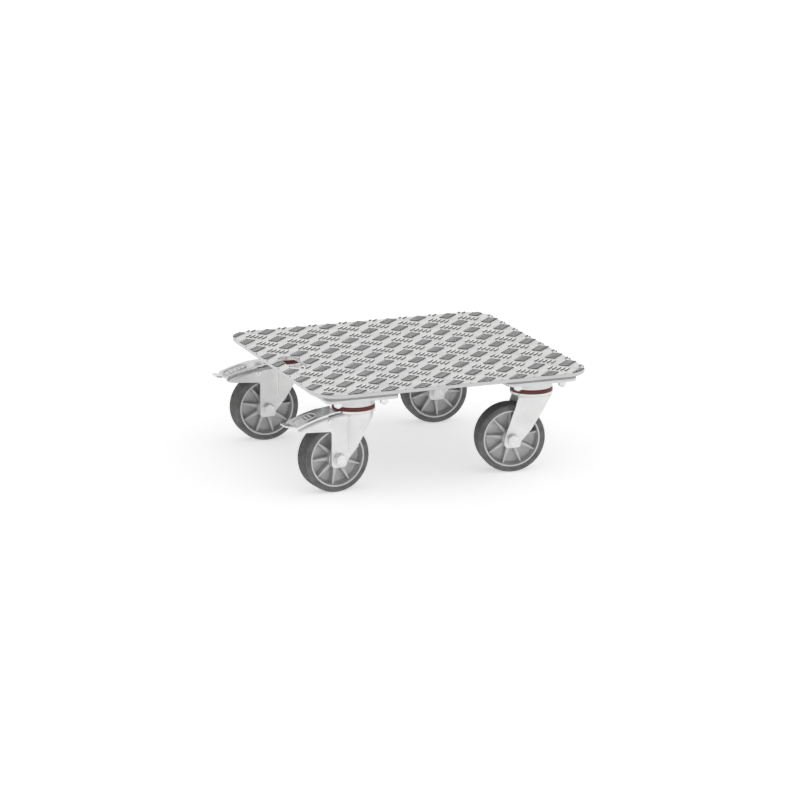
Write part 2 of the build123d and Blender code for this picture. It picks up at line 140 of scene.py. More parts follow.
class Bench:
    """Modelling moves, each made with Blender's own operators."""

    @staticmethod
    def take(piece: Piece) -> None:
        """Make a piece the only selected object, and the active one.

        Args:
            piece: The piece.
        """
        bpy.ops.object.select_all(action="DESELECT")
        piece.select_set(True)
        bpy.context.view_layer.objects.active = piece

    @staticmethod
    def start(name: str, add: Callable[..., object], **settings: object) -> Piece:
        """Add a primitive, and move its place and scale into its mesh.

        Args:
            name: The piece's name.
            add: Blender's operator that adds it.
            settings: Its size and place.

        Returns:
            The object, at the origin and unscaled.
        """
        bpy.ops.object.select_all(action="DESELECT")
        add(**settings)
        piece = bpy.context.active_object
        piece.name = name
        piece.data.name = name
        bpy.ops.object.transform_apply(location=True, rotation=True, scale=True)
        return piece

    @staticmethod
    def block(name: str, low: Sequence[float], high: Sequence[float]) -> Piece:
        """Add a block between its lowest and its highest corner."""
        low, high = Vector(low), Vector(high)
        return Bench.start(
            name, bpy.ops.mesh.primitive_cube_add, size=1, location=(low + high) / 2, scale=high - low
        )

    @staticmethod
    def prism(name: str, sides: int, radius: float, low: float, high: float) -> Piece:
        """Add an upright prism about the Z axis, with its radius to the corners, between two heights."""
        add = bpy.ops.mesh.primitive_cylinder_add
        return Bench.start(
            name, add, vertices=sides, radius=radius, depth=high - low, location=(0, 0, (low + high) / 2)
        )

    @staticmethod
    @contextmanager
    def editing(piece: Piece, part: Part = Part.VERTICES) -> Iterator[None]:
        """Edit a piece, with all of it selected at first.

        Args:
            piece: The piece.
            part: Which kind of element is selected.
        """
        Bench.take(piece)
        bpy.ops.object.mode_set(mode="EDIT")
        bpy.ops.mesh.select_mode(type=part.value)
        bpy.ops.mesh.select_all(action="SELECT")
        yield
        bpy.ops.object.mode_set(mode="OBJECT")

    @staticmethod
    @contextmanager
    def picked(piece: Piece, part: Part, test: Callable[[list[Vector]], bool]) -> Iterator[None]:
        """Edit a piece, with only the points or edges selected that pass a test.

        Args:
            piece: The piece.
            part: Which kind of element is selected.
            test: Takes the end points of an element and says whether it is selected.
        """
        with Bench.editing(piece, part):
            bpy.ops.mesh.select_all(action="DESELECT")
        points = piece.data.vertices
        for element in points if part is Part.VERTICES else piece.data.edges:
            ends = [element.index] if part is Part.VERTICES else element.vertices
            element.select = test([points[end].co for end in ends])
        bpy.ops.object.mode_set(mode="EDIT")
        yield
        bpy.ops.object.mode_set(mode="OBJECT")

    @staticmethod
    def extrude(*move: float) -> None:
        """Extrude what is selected."""
        bpy.ops.mesh.extrude_region_move(TRANSFORM_OT_translate={"value": move})

    @staticmethod
    def face_outwards() -> None:
        """Turn all faces of the piece in edit mode outwards."""
        bpy.ops.mesh.select_all(action="SELECT")
        bpy.ops.mesh.normals_make_consistent(inside=False)

    @staticmethod
    def lathe(name: str, outline: Sequence[Point], steps: int) -> Piece:
        """Spin a closed outline about the Z axis.

        Args:
            name: The piece's name.
            outline: Points of the outline, as radius and height.
            steps: Number of steps in the full turn.

        Returns:
            The spun solid.
        """
        piece = Bench.start(name, bpy.ops.mesh.primitive_plane_add, size=MM)
        with Bench.editing(piece):
            bpy.ops.mesh.merge(type="CENTER")
            radius, height = outline[0]
            bpy.ops.transform.translate(value=(radius, 0, height))
            for (r0, h0), (r1, h1) in zip(outline, outline[1:]):
                Bench.extrude(r1 - r0, 0, h1 - h0)
            bpy.ops.mesh.select_all(action="SELECT")
            bpy.ops.mesh.edge_face_add()
            bpy.ops.mesh.delete(type="ONLY_FACE")
            bpy.ops.mesh.select_all(action="SELECT")
            bpy.ops.mesh.spin(steps=steps, angle=FULL_TURN, center=(0, 0, 0), axis=(0, 0, 1))
            bpy.ops.mesh.select_all(action="SELECT")
            bpy.ops.mesh.remove_doubles(threshold=CLOSE)
            Bench.face_outwards()
        return piece

    @staticmethod
    def modify(piece: Piece, kind: str, **settings: object) -> None:
        """Add a modifier to a piece and apply it.

        Args:
            piece: The piece to modify.
            kind: Blender's name for the modifier.
            settings: Values of the modifier's own properties.
        """
        Bench.take(piece)
        modifier = piece.modifiers.new(kind, kind)
        for key, value in settings.items():
            setattr(modifier, key, value)
        bpy.ops.object.modifier_apply(modifier=modifier.name)

    @staticmethod
    def repeat(piece: Piece, count: int, step: Triple) -> None:
        """Repeat a piece a number of times in equal steps."""
        offset = {"use_relative_offset": False, "use_constant_offset": True, "constant_offset_displace": step}
        Bench.modify(piece, "ARRAY", count=count, **offset)

    @staticmethod
    def combine(piece: Piece, tool: Piece, join: Join) -> None:
        """Combine a piece with a tool solid, which is used up."""
        Bench.modify(piece, "BOOLEAN", operation=join.value, object=tool, solver="EXACT")
        bpy.data.objects.remove(tool)

    @staticmethod
    def round_upright(piece: Piece, radius: float, segments: int) -> None:
        """Round the upright edges of a block to a radius, in a number of steps."""
        with Bench.picked(piece, Part.EDGES, lambda ends: abs(ends[0].z - ends[1].z) > CLOSE):
            bpy.ops.mesh.bevel(offset=radius, segments=segments, affect="EDGES")

    @staticmethod
    def soften(piece: Piece, width: float, segments: int = 2, angle: float = 40) -> None:
        """Round a solid's edges that are sharper than an angle in degrees, and shade it smooth.

        Args:
            piece: The solid.
            width: Width of the rounding.
            segments: Number of steps in it.
            angle: Least angle of an edge that is rounded.
        """
        limit = {"limit_method": "ANGLE", "angle_limit": math.radians(angle), "use_clamp_overlap": True}
        Bench.modify(piece, "BEVEL", width=width, segments=segments, **limit)
        Bench.smooth(piece)

    @staticmethod
    def smooth(piece: Piece, angle: float = 35) -> None:
        """Clear a solid of faces without size and shade it smooth, with its large flats kept flat.

        Args:
            piece: The solid.
            angle: Greatest angle that is shaded smooth, in degrees.
        """
        with Bench.editing(piece):
            bpy.ops.mesh.remove_doubles(threshold=CLOSE)
            bpy.ops.mesh.dissolve_degenerate(threshold=CLOSE)
        bpy.ops.object.shade_smooth_by_angle(angle=math.radians(angle))
        Bench.modify(piece, "WEIGHTED_NORMAL", keep_sharp=True)

    @staticmethod
    def copy(piece: Piece, name: str, place: Matrix) -> Piece:
        """Copy a piece, with a mesh of its own, to another place.

        Args:
            piece: The piece to copy.
            name: Name of the copy.
            place: Where the copy goes, from the place of the original.

        Returns:
            The copy.
        """
        other = bpy.data.objects.new(name, piece.data.copy())
        other.data.name = name
        other.data.transform(place)
        bpy.context.scene.collection.objects.link(other)
        return other

    @staticmethod
    def gather(name: str, pieces: Sequence[Piece]) -> Piece:
        """Join pieces into one object.

        Args:
            name: Name of the joined piece.
            pieces: The pieces, which are used up.

        Returns:
            The joined piece.
        """
        joined = pieces[0]
        Bench.take(joined)
        for piece in pieces:
            piece.select_set(True)
        bpy.ops.object.join()
        joined.name = name
        joined.data.name = name
        return joined

    @staticmethod
    def spread(piece: Piece, name: str, places: Sequence[Matrix]) -> Piece:
        """Copy a piece to several places and join the copies.

        Args:
            piece: The piece, which is used up.
            name: Name of the joined copies.
            places: Where the copies go.

        Returns:
            The joined copies.
        """
        copies = [Bench.copy(piece, name, place) for place in places]
        Bench.discard(piece)
        return Bench.gather(name, copies)

    @staticmethod
    def refine(node: str, name: str, rounding: float, flat_angle: float = 2) -> Piece:
        """Copy a CAD node's mesh, merge its points and round its sharp edges.

        Args:
            node: The CAD node.
            name: Name of the copy.
            rounding: Width of the rounding.
            flat_angle: Angle in degrees below which faces are joined into one.

        Returns:
            The refined copy.
        """
        piece = Bench.copy(frame["nodes"][node], name, Matrix.Identity(4))
        with Bench.editing(piece):
            bpy.ops.mesh.customdata_custom_splitnormals_clear()
            bpy.ops.mesh.remove_doubles(threshold=CLOSE)
            bpy.ops.mesh.dissolve_limited(angle_limit=math.radians(flat_angle))
        Bench.soften(piece, rounding)
        return piece

    @staticmethod
    def trim(piece: Piece, bottom: float) -> None:
        """Cut away what hangs below a height, and close the cut.

        Args:
            piece: The piece to trim.
            bottom: Its new lowest height.
        """
        with Bench.editing(piece):
            bpy.ops.mesh.bisect(plane_co=(0, 0, bottom), plane_no=(0, 0, -1), use_fill=True, clear_outer=True)
        Bench.smooth(piece)

    @staticmethod
    def discard(*pieces: Piece) -> None:
        """Remove patterns that have been copied."""
        for piece in pieces:
            bpy.data.objects.remove(piece)

    @staticmethod
    def own_coordinates(piece: Piece) -> None:
        """Keep a pattern piece's own coordinates in an attribute, which its copies carry along."""
        attribute = piece.data.attributes.new(OWN, "FLOAT_VECTOR", "POINT")
        attribute.data.foreach_set("vector", [c for v in piece.data.vertices for c in v.co])


class Outline:
    """Stretches of outlines for the lathe, as points of radius and height."""

    @staticmethod
    def mirrored(half: Sequence[Point]) -> list[Point]:
        """Complete the lower half of an outline with its mirror image."""
        return [*half, *((radius, -height) for radius, height in reversed(half))]

    @staticmethod
    def quarter(middle: Point, radius: float, start: float, steps: int) -> list[Point]:
        """Go a quarter of a circle round its middle, from an angle in degrees."""
        angles = [math.radians(start + 90 * step / steps) for step in range(steps + 1)]
        return [(middle[0] + radius * math.cos(turn), middle[1] + radius * math.sin(turn)) for turn in angles]


class Graph:
    """The node graph of a material or of the surroundings."""

    def __init__(self, owner: bpy.types.ID, shader: str = "Principled BSDF") -> None:
        """Start a graph.

        Args:
            owner: What the graph belongs to.
            shader: Name of its shader node.
        """
        owner.use_nodes = True
        self.owner = owner
        self.tree = owner.node_tree
        self.shader = self.tree.nodes[shader]

    def node(self, kind: str, inputs: dict[str | int, object], **settings: object) -> bpy.types.Node:
        """Add a node.

        Args:
            kind: Blender's name for the node, without its first word.
            inputs: Values or sockets for its inputs.
            settings: Values of the node's own properties.

        Returns:
            The node.
        """
        node = self.tree.nodes.new("ShaderNode" + kind)
        for key, value in settings.items():
            setattr(node, key, value)
        for key, value in inputs.items():
            self.feed(node.inputs[key], value)
        return node

    def feed(self, socket: Socket, value: object) -> None:
        """Link a socket, or set its value.

        Args:
            socket: The input socket.
            value: Another socket, a number, a colour or a vector.
        """
        if isinstance(value, Socket):
            self.tree.links.new(value, socket)
        elif socket.type == "RGBA":
            socket.default_value = (*value, 1)
        else:
            socket.default_value = value

    def place(self, stretch: Triple = (1, 1, 1), own: bool = False) -> Socket:
        """Coordinates on the piece.

        Args:
            stretch: Scale along each axis.
            own: Whether they are the coordinates of the pattern piece, not of the whole object.

        Returns:
            The coordinate socket.
        """
        if own:
            source = self.node("Attribute", {}, attribute_name=OWN).outputs["Vector"]
        else:
            source = self.node("TexCoord", {}).outputs["Object"]
        return self.node("Mapping", {"Vector": source, "Scale": stretch}).outputs["Vector"]

    def noise(self, place: Socket, scale: float, detail: float = 4) -> Socket:
        """Noise on some coordinates, by its grains to a metre and its finer layers."""
        return self.node("TexNoise", {"Vector": place, "Scale": scale, "Detail": detail}).outputs["Fac"]

    def along(self, axis: str, vector: Socket) -> Socket:
        """Part of a vector along one axis."""
        return self.node("SeparateXYZ", {"Vector": vector}).outputs[axis]

    def radius(self, place: Socket) -> Socket:
        """Distance of a place from the Z axis."""
        squares = [self.sum("POWER", self.along(axis, place), 2.0) for axis in "XY"]
        return self.sum("POWER", self.sum("ADD", *squares), 0.5)

    def span(self, value: Socket, limits: Point, results: Point = (0, 1)) -> Socket:
        """Map a value between two limits to a range of results, held at both ends."""
        inputs = {"Value": value, 1: limits[0], 2: limits[1], 3: results[0], 4: results[1]}
        return self.node("MapRange", inputs).outputs["Result"]

    def blend(self, share: Socket, first: object, second: object) -> Socket:
        """Blend two colours by the share of the second."""
        return self.node("Mix", {"Factor": share, 6: first, 7: second}, data_type="RGBA").outputs[2]

    def sum(self, operation: str, *values: object) -> Socket:
        """Work out one operation on numbers, by Blender's name for it."""
        return self.node("Math", dict(enumerate(values)), operation=operation).outputs[0]

    def bump(self, height: Socket, depth: float) -> None:
        """Give the surface relief, from a height of 0 to 1 and a depth in metres."""
        node = self.node("Bump", {"Height": height, "Distance": depth})
        self.feed(self.shader.inputs["Normal"], node.outputs["Normal"])

    def surface(self, **values: object) -> None:
        """Set or link the shader's sockets, named with underscores for spaces."""
        for key, value in values.items():
            self.feed(self.shader.inputs[key.replace("_", " ")], value)


@dataclass(frozen=True)
class Finish:
    """A finish of one or more pieces, made into a material at its first use."""

    name: str

    @property
    def slot(self) -> str:
        """The record's material slot that it stands for."""
        return self.name

    @cached_property
    def material(self) -> Material:
        """Its material.

        Returns:
            The material.
        """
        graph = Graph(bpy.data.materials.new(self.name))
        self.paint(graph)
        return graph.owner

    def paint(self, graph: Graph) -> None:
        """Lay the finish on the graph of its material."""
        raise NotImplementedError


@dataclass(frozen=True)
class TreadPlate(Finish):
    """Rolled aluminium: bright above, with painted shade on its underside and on the flanks of the raised
    bars.
    """

    name: str = "tread_plate"
    flat: Triple = (0.84, 0.84, 0.83)
    dull: Triple = (0.72, 0.72, 0.715)
    worn: Triple = (0.95, 0.95, 0.945)
    # Near-black painted shade on the steep flanks of the raised bars.
    flank_shade_colour: Triple = (0.025, 0.025, 0.025)
    edge: Triple = (0.58, 0.58, 0.58)
    # Dark grey painted shade on the faces that look down.
    underside_shade: Triple = (0.22, 0.22, 0.22)
    roughness: Point = (0.22, 0.36)
    polish: float = 0.14
    dulling: float = 0.35
    flank_level: float = 0.1 * MM
    flank_slope: Point = (0.86, 0.60)
    edge_slope: Point = (0.75, 0.45)
    underside_slope: Point = (-0.3, -0.7)
    cloud_spread: Point = (0.40, 0.66)
    # How much the painted flank shade weakens in fine specks.
    flank_shade_spread: Point = (0.3, 0.75)
    least_flank_shade: float = 0.8
    rolling: Triple = (6, 90, 6)
    relief: float = 0.04 * MM

    def paint(self, graph: Graph) -> None:
        """Lay the finish on the graph of its material.

        Args:
            graph: The graph.
        """
        place = graph.place()
        rolled = graph.noise(graph.place(self.rolling), scale=8)
        cloud = graph.noise(place, scale=26)
        speck = graph.noise(place, scale=900, detail=2)
        flat = graph.blend(graph.span(cloud, self.cloud_spread), self.flat, self.dull)
        upward = graph.along("Z", graph.node("NewGeometry", {}).outputs["Normal"])
        raised = graph.sum("GREATER_THAN", graph.along("Z", place), self.flank_level)
        level = graph.sum("SUBTRACT", 1.0, raised)
        steep = graph.sum("MULTIPLY", graph.span(upward, self.flank_slope), raised)
        # Painted shade: the steep flanks of the raised bars are coloured near black, made rougher and not
        # metallic.
        flank_shade = graph.sum("MULTIPLY", steep, graph.span(speck, self.flank_shade_spread, (1, self.least_flank_shade)))
        sawn = graph.sum("MULTIPLY", graph.span(upward, self.edge_slope), level)
        # Painted shade: faces that look down are coloured dark grey and made rougher.
        shaded_underside = graph.span(upward, self.underside_slope)
        treaded = graph.blend(flank_shade, graph.blend(raised, flat, self.worn), self.flank_shade_colour)
        sheen = graph.span(rolled, GRAIN_SPREAD, self.roughness)
        sheen = graph.sum("SUBTRACT", sheen, graph.sum("MULTIPLY", raised, self.polish))
        dulled = graph.sum("MULTIPLY", graph.sum("ADD", shaded_underside, flank_shade), self.dulling)
        graph.surface(
            Base_Color=graph.blend(shaded_underside, graph.blend(sawn, treaded, self.edge), self.underside_shade),
            Metallic=graph.sum("SUBTRACT", 1.0, flank_shade),
            Roughness=graph.sum("ADD", sheen, dulled),
            Specular_IOR_Level=0.2,
        )
        graph.bump(graph.sum("ADD", rolled, speck), self.relief)


@dataclass(frozen=True)
class Zinc(Finish):
    """Bright zinc plating on pressed steel, with faint cloudy passivation."""

    bright: Triple = (0.82, 0.82, 0.815)
    cloudy: Triple = (0.73, 0.73, 0.728)
    roughness: Point = (0.26, 0.38)
    metallic: float = 0.75
    drawing: Triple = (1, 1, 14)
    streak_spread: Point = (0.5, 0.8)
    gloss_spread: Point = (0.75, 1.25)
    most_cloud: float = 0.7
    most_streak: float = 0.3
    relief: float = 0.02 * MM

    @property
    def slot(self) -> str:
        """The one slot of all zinc plating."""
        return "zinc_steel"

    def paint(self, graph: Graph) -> None:
        """Lay the finish on the graph of its material.

        Args:
            graph: The graph.
        """
        place = graph.place()
        cloud = graph.noise(place, scale=45)
        grain = graph.noise(place, scale=1400, detail=2)
        drawn = graph.noise(graph.place(self.drawing), scale=160)
        clouded = graph.span(cloud, CLOUD_SPREAD, (0, self.most_cloud))
        streaked = graph.span(drawn, self.streak_spread, (0, self.most_streak))
        graph.surface(
            Base_Color=graph.blend(graph.sum("ADD", clouded, streaked), self.bright, self.cloudy),
            Metallic=self.metallic,
            Roughness=graph.span(graph.sum("ADD", cloud, grain), self.gloss_spread, self.roughness),
        )
        graph.bump(grain, self.relief)


@dataclass(frozen=True)
class CastRim(Finish):
    """Grey cast aluminium with a bright turned edge."""

    name: str = "cast_rim"
    cast: Triple = (0.51, 0.51, 0.51)
    pale: Triple = (0.62, 0.62, 0.62)
    turned: Triple = (0.62, 0.62, 0.62)
    turned_from: float = 50.5 * MM
    metallic: float = 0.7
    roughness: Point = (0.55, 0.28)
    tool_waves: float = 16000.0
    tool_share: float = 0.12
    relief: float = 0.12 * MM

    def paint(self, graph: Graph) -> None:
        """Lay the finish on the graph of its material.

        Args:
            graph: The graph.
        """
        own = graph.place(own=True)
        radius = graph.radius(own)
        turned = graph.sum("GREATER_THAN", radius, self.turned_from)
        grain = graph.noise(own, scale=700, detail=3)
        cloud = graph.noise(own, scale=60)
        tool_marks = graph.sum("SINE", graph.sum("MULTIPLY", radius, self.tool_waves))
        cast = graph.blend(graph.span(cloud, CLOUD_SPREAD), self.cast, self.pale)
        graph.surface(
            Base_Color=graph.blend(turned, cast, self.turned),
            Metallic=self.metallic,
            Roughness=graph.span(turned, (0, 1), self.roughness),
        )
        cast_relief = graph.sum("MULTIPLY", grain, graph.span(turned, (0, 1), (1, 0)))
        turned_relief = graph.sum("MULTIPLY", tool_marks, graph.span(turned, (0, 1), (0, self.tool_share)))
        graph.bump(graph.sum("ADD", cast_relief, turned_relief), self.relief)


@dataclass(frozen=True)
class TyreRubber(Finish):
    """Dark grey elastic rubber, scuffed a little darker where it rolls."""

    name: str = "tyre_rubber"
    dark: Triple = (0.125, 0.125, 0.123)
    pale: Triple = (0.19, 0.19, 0.187)
    scuff: Triple = (0.05, 0.05, 0.049)
    tread: Point = (61.5 * MM, 62.5 * MM)
    roughness: Point = (0.62, 0.85)
    cloud_spread: Point = (0.35, 0.68)
    scuff_spread: Point = (0.36, 0.66)
    scuff_share: Point = (0.4, 0.8)
    relief: float = 0.06 * MM

    def paint(self, graph: Graph) -> None:
        """Lay the finish on the graph of its material.

        Args:
            graph: The graph.
        """
        own = graph.place(own=True)
        cloud = graph.noise(own, scale=70)
        grain = graph.noise(own, scale=1500, detail=2)
        worn = graph.span(graph.noise(own, scale=220), self.scuff_spread, self.scuff_share)
        rolled = graph.sum("MULTIPLY", graph.span(graph.radius(own), self.tread), worn)
        rubber = graph.blend(graph.span(cloud, self.cloud_spread), self.dark, self.pale)
        graph.surface(
            Base_Color=graph.blend(rolled, rubber, self.scuff),
            Roughness=graph.span(grain, GRAIN_SPREAD, self.roughness),
            Specular_IOR_Level=0.35,
        )
        graph.bump(grain, self.relief)


@dataclass(frozen=True)
class Moulding(Finish):
    """Moulded rubber or plastic of one colour, with a fine skin."""

    deep: Triple
    light: Triple
    roughness: Point
    relief: float = 0.05 * MM

    def paint(self, graph: Graph) -> None:
        """Lay the finish on the graph of its material.

        Args:
            graph: The graph.
        """
        cloud = graph.noise(graph.place(), scale=90)
        grain = graph.noise(graph.place(), scale=1100, detail=3)
        graph.surface(
            Base_Color=graph.blend(graph.span(cloud, CLOUD_SPREAD), self.deep, self.light),
            Roughness=graph.span(grain, GRAIN_SPREAD, self.roughness),
        )
        graph.bump(grain, self.relief)


@dataclass(frozen=True)
class SawnMetal(Finish):
    """Plain sawn or ground metal with straight cutting marks."""

    light: Triple
    dark: Triple
    roughness: Point
    marks: Triple = (4, 4, 260)
    relief: float = 0.05 * MM

    def paint(self, graph: Graph) -> None:
        """Lay the finish on the graph of its material.

        Args:
            graph: The graph.
        """
        cut = graph.noise(graph.place(self.marks), scale=9)
        cloud = graph.noise(graph.place(), scale=55)
        graph.surface(
            Base_Color=graph.blend(graph.span(cloud, CLOUD_SPREAD), self.light, self.dark),
            Metallic=1.0,
            Roughness=graph.span(cut, GRAIN_SPREAD, self.roughness),
        )
        graph.bump(cut, self.relief)


class Finishes:
    """Every finish of the dolly."""

    tread_plate = TreadPlate()
    zinc = Zinc("zinc_steel")
    fastener = Zinc("zinc_fastener", (0.86, 0.86, 0.855), (0.70, 0.70, 0.698), (0.18, 0.30))
    plate = Zinc("zinc_plate", (0.72, 0.723, 0.726), (0.64, 0.645, 0.65), (0.28, 0.40))
    worn = Zinc("zinc_worn", (0.95, 0.95, 0.95), (0.88, 0.88, 0.88), (0.45, 0.58), 0.35)
    pedal = Zinc("zinc_pedal", (0.76, 0.76, 0.758), (0.66, 0.66, 0.658), (0.18, 0.28), 1.0)
    packing = SawnMetal("packing_aluminium", (0.38, 0.38, 0.38), (0.31, 0.31, 0.31), (0.45, 0.60))
    bearing = SawnMetal("bearing_steel", (0.72, 0.72, 0.73), (0.60, 0.60, 0.61), (0.16, 0.26))
    seal = Moulding("red_seal", (0.135, 0.020, 0.018), (0.185, 0.032, 0.028), (0.38, 0.52))
    shoe = Moulding("shoe_rubber", (0.018, 0.018, 0.018), (0.035, 0.035, 0.035), (0.65, 0.85))
    rim = CastRim()
    tyre = TyreRubber()


class Fitter:
    """Puts finished pieces on the bodies that carry them."""

    @staticmethod
    def add(piece: Piece, finish: Finish, node: str) -> None:
        """Dress a piece and let it ride on the body of a CAD node.

        Args:
            piece: The finished piece.
            finish: Its finish.
            node: A CAD node on the body that carries it.
        """
        body = frame["nodes"][node].parent.name.removeprefix("body:")
        piece.data.materials.clear()
        piece.data.materials.append(finish.material)
        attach(piece, body)
        log.info("%s: %d faces, on %s", piece.name, len(piece.data.polygons), body)

    @staticmethod
    def replace(piece: Piece, finish: Finish, node: str) -> None:
        """Dress a piece that stands for a CAD node."""
        Fitter.add(piece, finish, node)
        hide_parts(node)

    @staticmethod
    def keep(finish: Finish, node: str) -> None:
        """Dress a CAD node that stays as it is.

        Args:
            finish: Its finish.
            node: The CAD node.
        """
        for place in frame["nodes"][node].material_slots:
            place.material = finish.material
        log.info("%s: CAD node kept", node)


# How far each wheel has rolled, in degrees.
ROLLS = {Corner.FRONT_LEFT: 20, Corner.BACK_LEFT: 34, Corner.FRONT_RIGHT: 28, Corner.BACK_RIGHT: 5}


@dataclass(frozen=True)
class Caster:
    """Where one caster hangs, how its fork is turned and how its wheel has rolled."""

    corner: Corner
    swivel_axis: Vector
    axle: Vector
    swivel: float
    roll: float

    @classmethod
    def read(cls, corner: Corner) -> "Caster":
        """Read a caster's place from the frame's joints.

        Args:
            corner: The caster's corner.

        Returns:
            The caster.
        """
        joints = {joint["name"]: joint for joint in frame["joints"]}
        turn = joints[corner.name_of("swivel_turn")]
        spin = joints[corner.name_of("wheel_roll")]
        swivel = math.atan2(-spin["axis"][0], spin["axis"][1])
        return cls(corner, Vector(turn["pos_m"]), Vector(spin["pos_m"]), swivel, math.radians(ROLLS[corner]))

    @property
    def square(self) -> Matrix:
        """Place of what stays square to the deck."""
        return Matrix.Translation((self.swivel_axis.x, self.swivel_axis.y, 0))

    @property
    def turned(self) -> Matrix:
        """Place of what turns with the fork."""
        return self.square @ Matrix.Rotation(self.swivel, 4, "Z")

    @property
    def on_axle(self) -> Matrix:
        """Place on the axle of what is modelled upright about the Z axis, with +Z towards the front."""
        return Matrix.Translation(self.axle) @ Matrix.Rotation(self.swivel, 4, "Z") @ LAID_DOWN

    @property
    def rolled(self) -> Matrix:
        """Place of what rolls with the wheel."""
        return self.on_axle @ Matrix.Rotation(-self.roll, 4, "Z")

    def fit(self, pattern: Piece, name: str, place: Matrix, finish: Finish, node: str) -> None:
        """Put a dressed copy of a pattern in the place of one of this caster's CAD nodes."""
        copy = Bench.copy(pattern, self.corner.name_of(name), place)
        Fitter.replace(copy, finish, self.corner.name_of(node))


@dataclass
class Assembly:
    """A sub-assembly of the dolly, with what all of them share."""

    casters: Sequence[Caster]
    fork_half: float = 25.5 * MM


@dataclass
class Deck(Assembly):
    """The tread-plate deck: a rounded sheet with a grip hole, and its raised bars."""

    corner_radius: float = 50 * MM
    corner_steps: int = 16
    edge_rounding: float = 0.9 * MM
    edge_steps: int = 3
    grip_length: float = 92 * MM
    grip_width: float = 33 * MM
    grip_edge_distance: float = 42 * MM
    grip_roundness: float = 0.999
    grip_steps: int = 14
    bar_length: float = 21 * MM
    bar_width: float = 4.6 * MM
    bar_height: float = 1.5 * MM
    bar_sink: float = 0.3 * MM
    bar_sides: int = 12
    bar_steps: tuple[Triple, ...] = (
        (0.65 * MM, 0.985, 0.913),
        (1.03 * MM, 0.965, 0.643),
        (0.12 * MM, 0.930, 0.333),
    )
    bar_fullness: tuple[tuple[Point, Point], ...] = (((0.3, 0.6), (1.3, 1.08)), ((0.75, 0.95), (1.06, 1.2)))
    bar_angle: float = 45
    bar_smoothing: float = 45
    bar_pitch: float = 8.2 * MM
    bars_in_group: int = 5
    group_pitch: float = 61 * MM
    groups: int = 9
    lattice_x: float = -3 * MM
    lattice_y: float = -4 * MM
    limit_below: float = 2 * MM
    limit_above: float = 4 * MM

    def blank(self, name: str, low: float, high: float) -> Piece:
        """Cut the deck's outline with its grip hole.

        Args:
            name: The piece's name.
            low: Height of its underside.
            high: Height of its upper side.

        Returns:
            The plain sheet.
        """
        lowest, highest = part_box("deck")
        sheet = Bench.block(name, (lowest.x, lowest.y, low), (highest.x, highest.y, high))
        Bench.round_upright(sheet, self.corner_radius, self.corner_steps)
        left = lowest.x + self.grip_edge_distance - self.grip_width / 2
        right = lowest.x + self.grip_edge_distance + self.grip_width / 2
        half = self.grip_length / 2
        hole = Bench.block("grip_cut", (left, -half, low - MM), (right, half, high + MM))
        Bench.round_upright(hole, self.grip_width / 2 * self.grip_roundness, self.grip_steps)
        Bench.combine(sheet, hole, Join.CUT)
        return sheet

    def bar(self) -> Piece:
        """Model one raised bar, lying along X on the sheet.

        Returns:
            The bar.
        """
        half = self.bar_length / 2
        sizes = {"vertices": self.bar_sides, "radius": half, "fill_type": "NGON"}
        bar = Bench.start("bar", bpy.ops.mesh.primitive_circle_add, location=(0, 0, -self.bar_sink), **sizes)
        for (inner, outer), stretch in self.bar_fullness:
            with Bench.picked(bar, Part.VERTICES, lambda ends: inner < abs(ends[0].x) / half < outer):
                bpy.ops.transform.resize(value=(*stretch, 1), center_override=(0, 0, 0))
        with Bench.editing(bar, Part.FACES):
            bpy.ops.transform.resize(value=(1, self.bar_width / self.bar_length, 1))
            for rise, length, width in self.bar_steps:
                Bench.extrude(0, 0, rise)
                bpy.ops.transform.resize(value=(length, width, 1))
            Bench.face_outwards()
        return bar

    def lattice(self, angle: float, groups: int) -> Piece:
        """Repeat the bar over the deck in groups that lie one way.

        Args:
            angle: Direction of the bars, in degrees from X.
            groups: Number of groups along each edge.

        Returns:
            All the bars that lie that way.
        """
        bars = self.bar()
        back = self.bar_pitch * (self.bars_in_group - 1) / 2
        bars.data.transform(Matrix.Translation((0, -back, 0)))
        Bench.repeat(bars, self.bars_in_group, (0, self.bar_pitch, 0))
        first = -self.group_pitch * (groups - 1) / 2
        place = Matrix.Translation((self.lattice_x + first, self.lattice_y + first, 0))
        bars.data.transform(place @ Matrix.Rotation(math.radians(angle), 4, "Z"))
        for step in ((self.group_pitch, 0, 0), (0, self.group_pitch, 0)):
            Bench.repeat(bars, groups, step)
        return bars

    def build(self) -> None:
        """Build and dress the deck."""
        lowest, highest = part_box("deck")
        surface = highest.z - self.bar_height
        sheet = self.blank("deck_sheet", lowest.z, surface)
        Bench.soften(sheet, self.edge_rounding, self.edge_steps)
        Fitter.replace(sheet, Finishes.tread_plate, "deck")
        falling = self.lattice(-self.bar_angle, self.groups)
        rising = self.lattice(self.bar_angle, self.groups + 1)
        bars = Bench.gather("tread_bars", [falling, rising])
        limits = self.blank("bar_limits", surface - self.limit_below, surface + self.limit_above)
        Bench.combine(bars, limits, Join.KEEP)
        Bench.smooth(bars, self.bar_smoothing)
        Fitter.replace(bars, Finishes.tread_plate, "deck")


